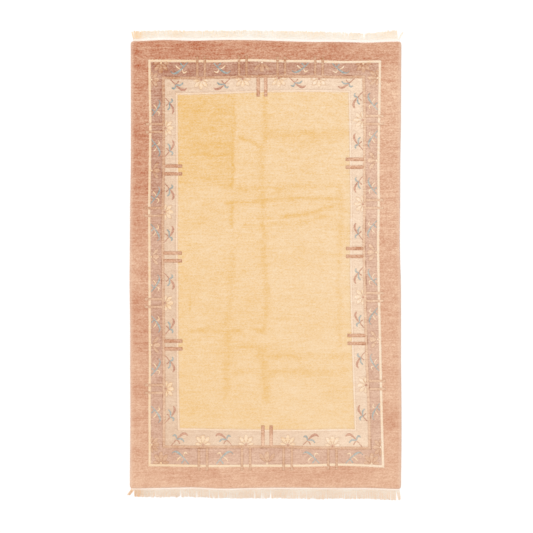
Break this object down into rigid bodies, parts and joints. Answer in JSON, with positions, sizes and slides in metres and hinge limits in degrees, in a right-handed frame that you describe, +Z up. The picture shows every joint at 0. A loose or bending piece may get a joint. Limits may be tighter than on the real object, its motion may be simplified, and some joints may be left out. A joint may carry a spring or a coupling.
{
  "type": "tibetan rug",
  "caption": "Flat rectangular hand-knotted wool rug with a rounded pile rim, carved border stripes and paired bars, and a flat-woven band with warp fringe at each end.",
  "frame": {"origin": "on the floor, at the centre of the whole rug with its fringe", "axes": "+X across the rug, +Y along it towards the top end of the picture, +Z up out of the pile"},
  "size_m": [1.846, 3.1384, 0.014],
  "materials": {
    "pile_wool": "cut wool pile, gold field in rust, mauve and beige borders, matt with a soft sheen",
    "warp_cotton": "undyed cotton, flat-woven band and twisted warp ends, matt"
  },
  "bodies": {
    "root": {"rug_body": "pile_wool", "fringe_top": "warp_cotton", "fringe_bottom": "warp_cotton"}
  },
  "joints": []
}
